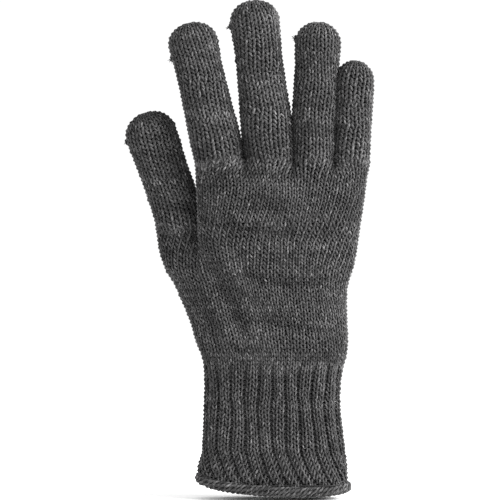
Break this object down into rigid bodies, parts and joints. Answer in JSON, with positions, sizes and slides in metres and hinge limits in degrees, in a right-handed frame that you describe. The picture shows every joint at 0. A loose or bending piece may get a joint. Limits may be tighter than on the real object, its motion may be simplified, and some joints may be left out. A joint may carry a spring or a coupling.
{
  "type": "knitted glove",
  "caption": "Right-hand seamless knitted work glove with hollow fingers and thumb that fold at their joints, and a long ribbed elastic cuff with a rolled hem.",
  "frame": {"origin": "centre of the mouth of the cuff, in the plane of its rolled hem", "axes": "+Z from the mouth to the fingertips, +Y out of the palm side, -Y out of the back of the hand, the thumb on the -X side"},
  "size_m": [0.1412, 0.0368, 0.2791],
  "materials": {
    "plain_knit": "dark grey marl yarn, plain knit",
    "rib_knit": "dark grey marl yarn, ribbed",
    "hem_knit": "dark grey marl yarn, rolled and overedged",
    "hem_thread": "matt stitching thread",
    "elastic_yarn": "covered elastic yarn",
    "yarn_end": "cut and knotted marl yarn"
  },
  "bodies": {
    "cuff": {"ribbed_cuff": "rib_knit", "rolled_hem": "hem_knit", "hem_thread": "hem_thread", "cuff_elastic": "elastic_yarn", "wrist_crease_palm": "plain_knit", "wrist_crease_back": "plain_knit"},
    "palm": {"lower_palm": "plain_knit", "thumb_fork": "plain_knit", "upper_palm": "plain_knit", "finger_fork": "plain_knit", "index_root": "plain_knit", "index_knuckle_crease": "plain_knit", "middle_root": "plain_knit", "middle_knuckle_crease": "plain_knit", "ring_root": "plain_knit", "ring_knuckle_crease": "plain_knit", "little_root": "plain_knit", "little_knuckle_crease": "plain_knit", "thumb_root": "plain_knit", "thumb_root_crease": "plain_knit"},
    "index_lower": {"index_lower": "plain_knit", "index_middle_crease": "plain_knit"},
    "index_middle": {"index_middle": "plain_knit", "index_tip_crease": "plain_knit"},
    "index_tip": {"index_tip": "plain_knit", "index_yarn_end": "yarn_end"},
    "middle_lower": {"middle_lower": "plain_knit", "middle_middle_crease": "plain_knit"},
    "middle_middle": {"middle_middle": "plain_knit", "middle_tip_crease": "plain_knit"},
    "middle_tip": {"middle_tip": "plain_knit", "middle_yarn_end": "yarn_end"},
    "ring_lower": {"ring_lower": "plain_knit", "ring_middle_crease": "plain_knit"},
    "ring_middle": {"ring_middle": "plain_knit", "ring_tip_crease": "plain_knit"},
    "ring_tip": {"ring_tip": "plain_knit", "ring_yarn_end": "yarn_end"},
    "little_lower": {"little_lower": "plain_knit", "little_middle_crease": "plain_knit"},
    "little_middle": {"little_middle": "plain_knit", "little_tip_crease": "plain_knit"},
    "little_tip": {"little_tip": "plain_knit", "little_yarn_end": "yarn_end"},
    "thumb_lower": {"thumb_lower": "plain_knit", "thumb_middle_crease": "plain_knit"},
    "thumb_tip": {"thumb_tip": "plain_knit", "thumb_yarn_end": "yarn_end"}
  },
  "joints": [
    {"name": "wrist_fold", "type": "hinge", "parent": "cuff", "child": "palm", "pos_m": [0, 0, 0.076], "axis": [-1, 0, 0], "range_deg": [-45, 60], "stiffness_Nm_per_rad": 0.6, "deforming": ["wrist_crease_palm", "wrist_crease_back"]},
    {"name": "index_knuckle", "type": "hinge", "parent": "palm", "child": "index_lower", "pos_m": [-0.03172, -0.003, 0.20024], "axis": [-0.9858, 0, -0.1681], "range_deg": [-15, 60], "stiffness_Nm_per_rad": 0.03, "deforming": ["index_knuckle_crease"]},
    {"name": "index_middle_fold", "type": "hinge", "parent": "index_lower", "child": "index_middle", "pos_m": [-0.03701, -0.003, 0.22334], "axis": [-0.9858, 0, -0.1681], "range_deg": [0, 66], "stiffness_Nm_per_rad": 0.02, "deforming": ["index_middle_crease"]},
    {"name": "index_tip_fold", "type": "hinge", "parent": "index_middle", "child": "index_tip", "pos_m": [-0.04159, -0.003, 0.24336], "axis": [-0.9858, 0, -0.1681], "range_deg": [0, 33], "stiffness_Nm_per_rad": 0.01, "deforming": ["index_tip_crease"]},
    {"name": "middle_knuckle", "type": "hinge", "parent": "palm", "child": "middle_lower", "pos_m": [-0.0032, -0.003, 0.20156], "axis": [-0.9964, 0, -0.085], "range_deg": [-15, 60], "stiffness_Nm_per_rad": 0.03, "deforming": ["middle_knuckle_crease"]},
    {"name": "middle_middle_fold", "type": "hinge", "parent": "middle_lower", "child": "middle_middle", "pos_m": [-0.00621, -0.003, 0.22797], "axis": [-0.9964, 0, -0.085], "range_deg": [0, 66], "stiffness_Nm_per_rad": 0.02, "deforming": ["middle_middle_crease"]},
    {"name": "middle_tip_fold", "type": "hinge", "parent": "middle_middle", "child": "middle_tip", "pos_m": [-0.00882, -0.003, 0.25086], "axis": [-0.9964, 0, -0.085], "range_deg": [0, 33], "stiffness_Nm_per_rad": 0.01, "deforming": ["middle_tip_crease"]},
    {"name": "ring_knuckle", "type": "hinge", "parent": "palm", "child": "ring_lower", "pos_m": [0.02292, -0.003, 0.20017], "axis": [-0.9998, 0, 0.0183], "range_deg": [-15, 60], "stiffness_Nm_per_rad": 0.03, "deforming": ["ring_knuckle_crease"]},
    {"name": "ring_middle_fold", "type": "hinge", "parent": "ring_lower", "child": "ring_middle", "pos_m": [0.02348, -0.003, 0.22308], "axis": [-0.9998, 0, 0.0183], "range_deg": [0, 66], "stiffness_Nm_per_rad": 0.02, "deforming": ["ring_middle_crease"]},
    {"name": "ring_tip_fold", "type": "hinge", "parent": "ring_middle", "child": "ring_tip", "pos_m": [0.02397, -0.003, 0.24294], "axis": [-0.9998, 0, 0.0183], "range_deg": [0, 33], "stiffness_Nm_per_rad": 0.01, "deforming": ["ring_tip_crease"]},
    {"name": "little_knuckle", "type": "hinge", "parent": "palm", "child": "little_lower", "pos_m": [0.04419, -0.003, 0.19745], "axis": [-0.9994, 0, 0.034], "range_deg": [-15, 60], "stiffness_Nm_per_rad": 0.03, "deforming": ["little_knuckle_crease"]},
    {"name": "little_middle_fold", "type": "hinge", "parent": "little_lower", "child": "little_middle", "pos_m": [0.04492, -0.003, 0.21357], "axis": [-0.9994, 0, 0.034], "range_deg": [0, 66], "stiffness_Nm_per_rad": 0.02, "deforming": ["little_middle_crease"]},
    {"name": "little_tip_fold", "type": "hinge", "parent": "little_middle", "child": "little_tip", "pos_m": [0.04556, -0.003, 0.22755], "axis": [-0.9994, 0, 0.034], "range_deg": [0, 33], "stiffness_Nm_per_rad": 0.01, "deforming": ["little_tip_crease"]},
    {"name": "thumb_root_fold", "type": "hinge", "parent": "palm", "child": "thumb_lower", "pos_m": [-0.05527, 0.0099, 0.16683], "axis": [-0.9455, 0, -0.3256], "range_deg": [-10, 26], "stiffness_Nm_per_rad": 0.03, "deforming": ["thumb_root_crease"]},
    {"name": "thumb_middle_fold", "type": "hinge", "parent": "thumb_lower", "child": "thumb_tip", "pos_m": [-0.06343, 0.0099, 0.19055], "axis": [-0.9455, 0, -0.3256], "range_deg": [0, 48], "stiffness_Nm_per_rad": 0.02, "deforming": ["thumb_middle_crease"]}
  ],
  "couplings": [
    {"joint": "index_tip_fold", "follows": "index_middle_fold", "ratio": 0.5},
    {"joint": "middle_tip_fold", "follows": "middle_middle_fold", "ratio": 0.5},
    {"joint": "ring_tip_fold", "follows": "ring_middle_fold", "ratio": 0.5},
    {"joint": "little_tip_fold", "follows": "little_middle_fold", "ratio": 0.5}
  ]
}
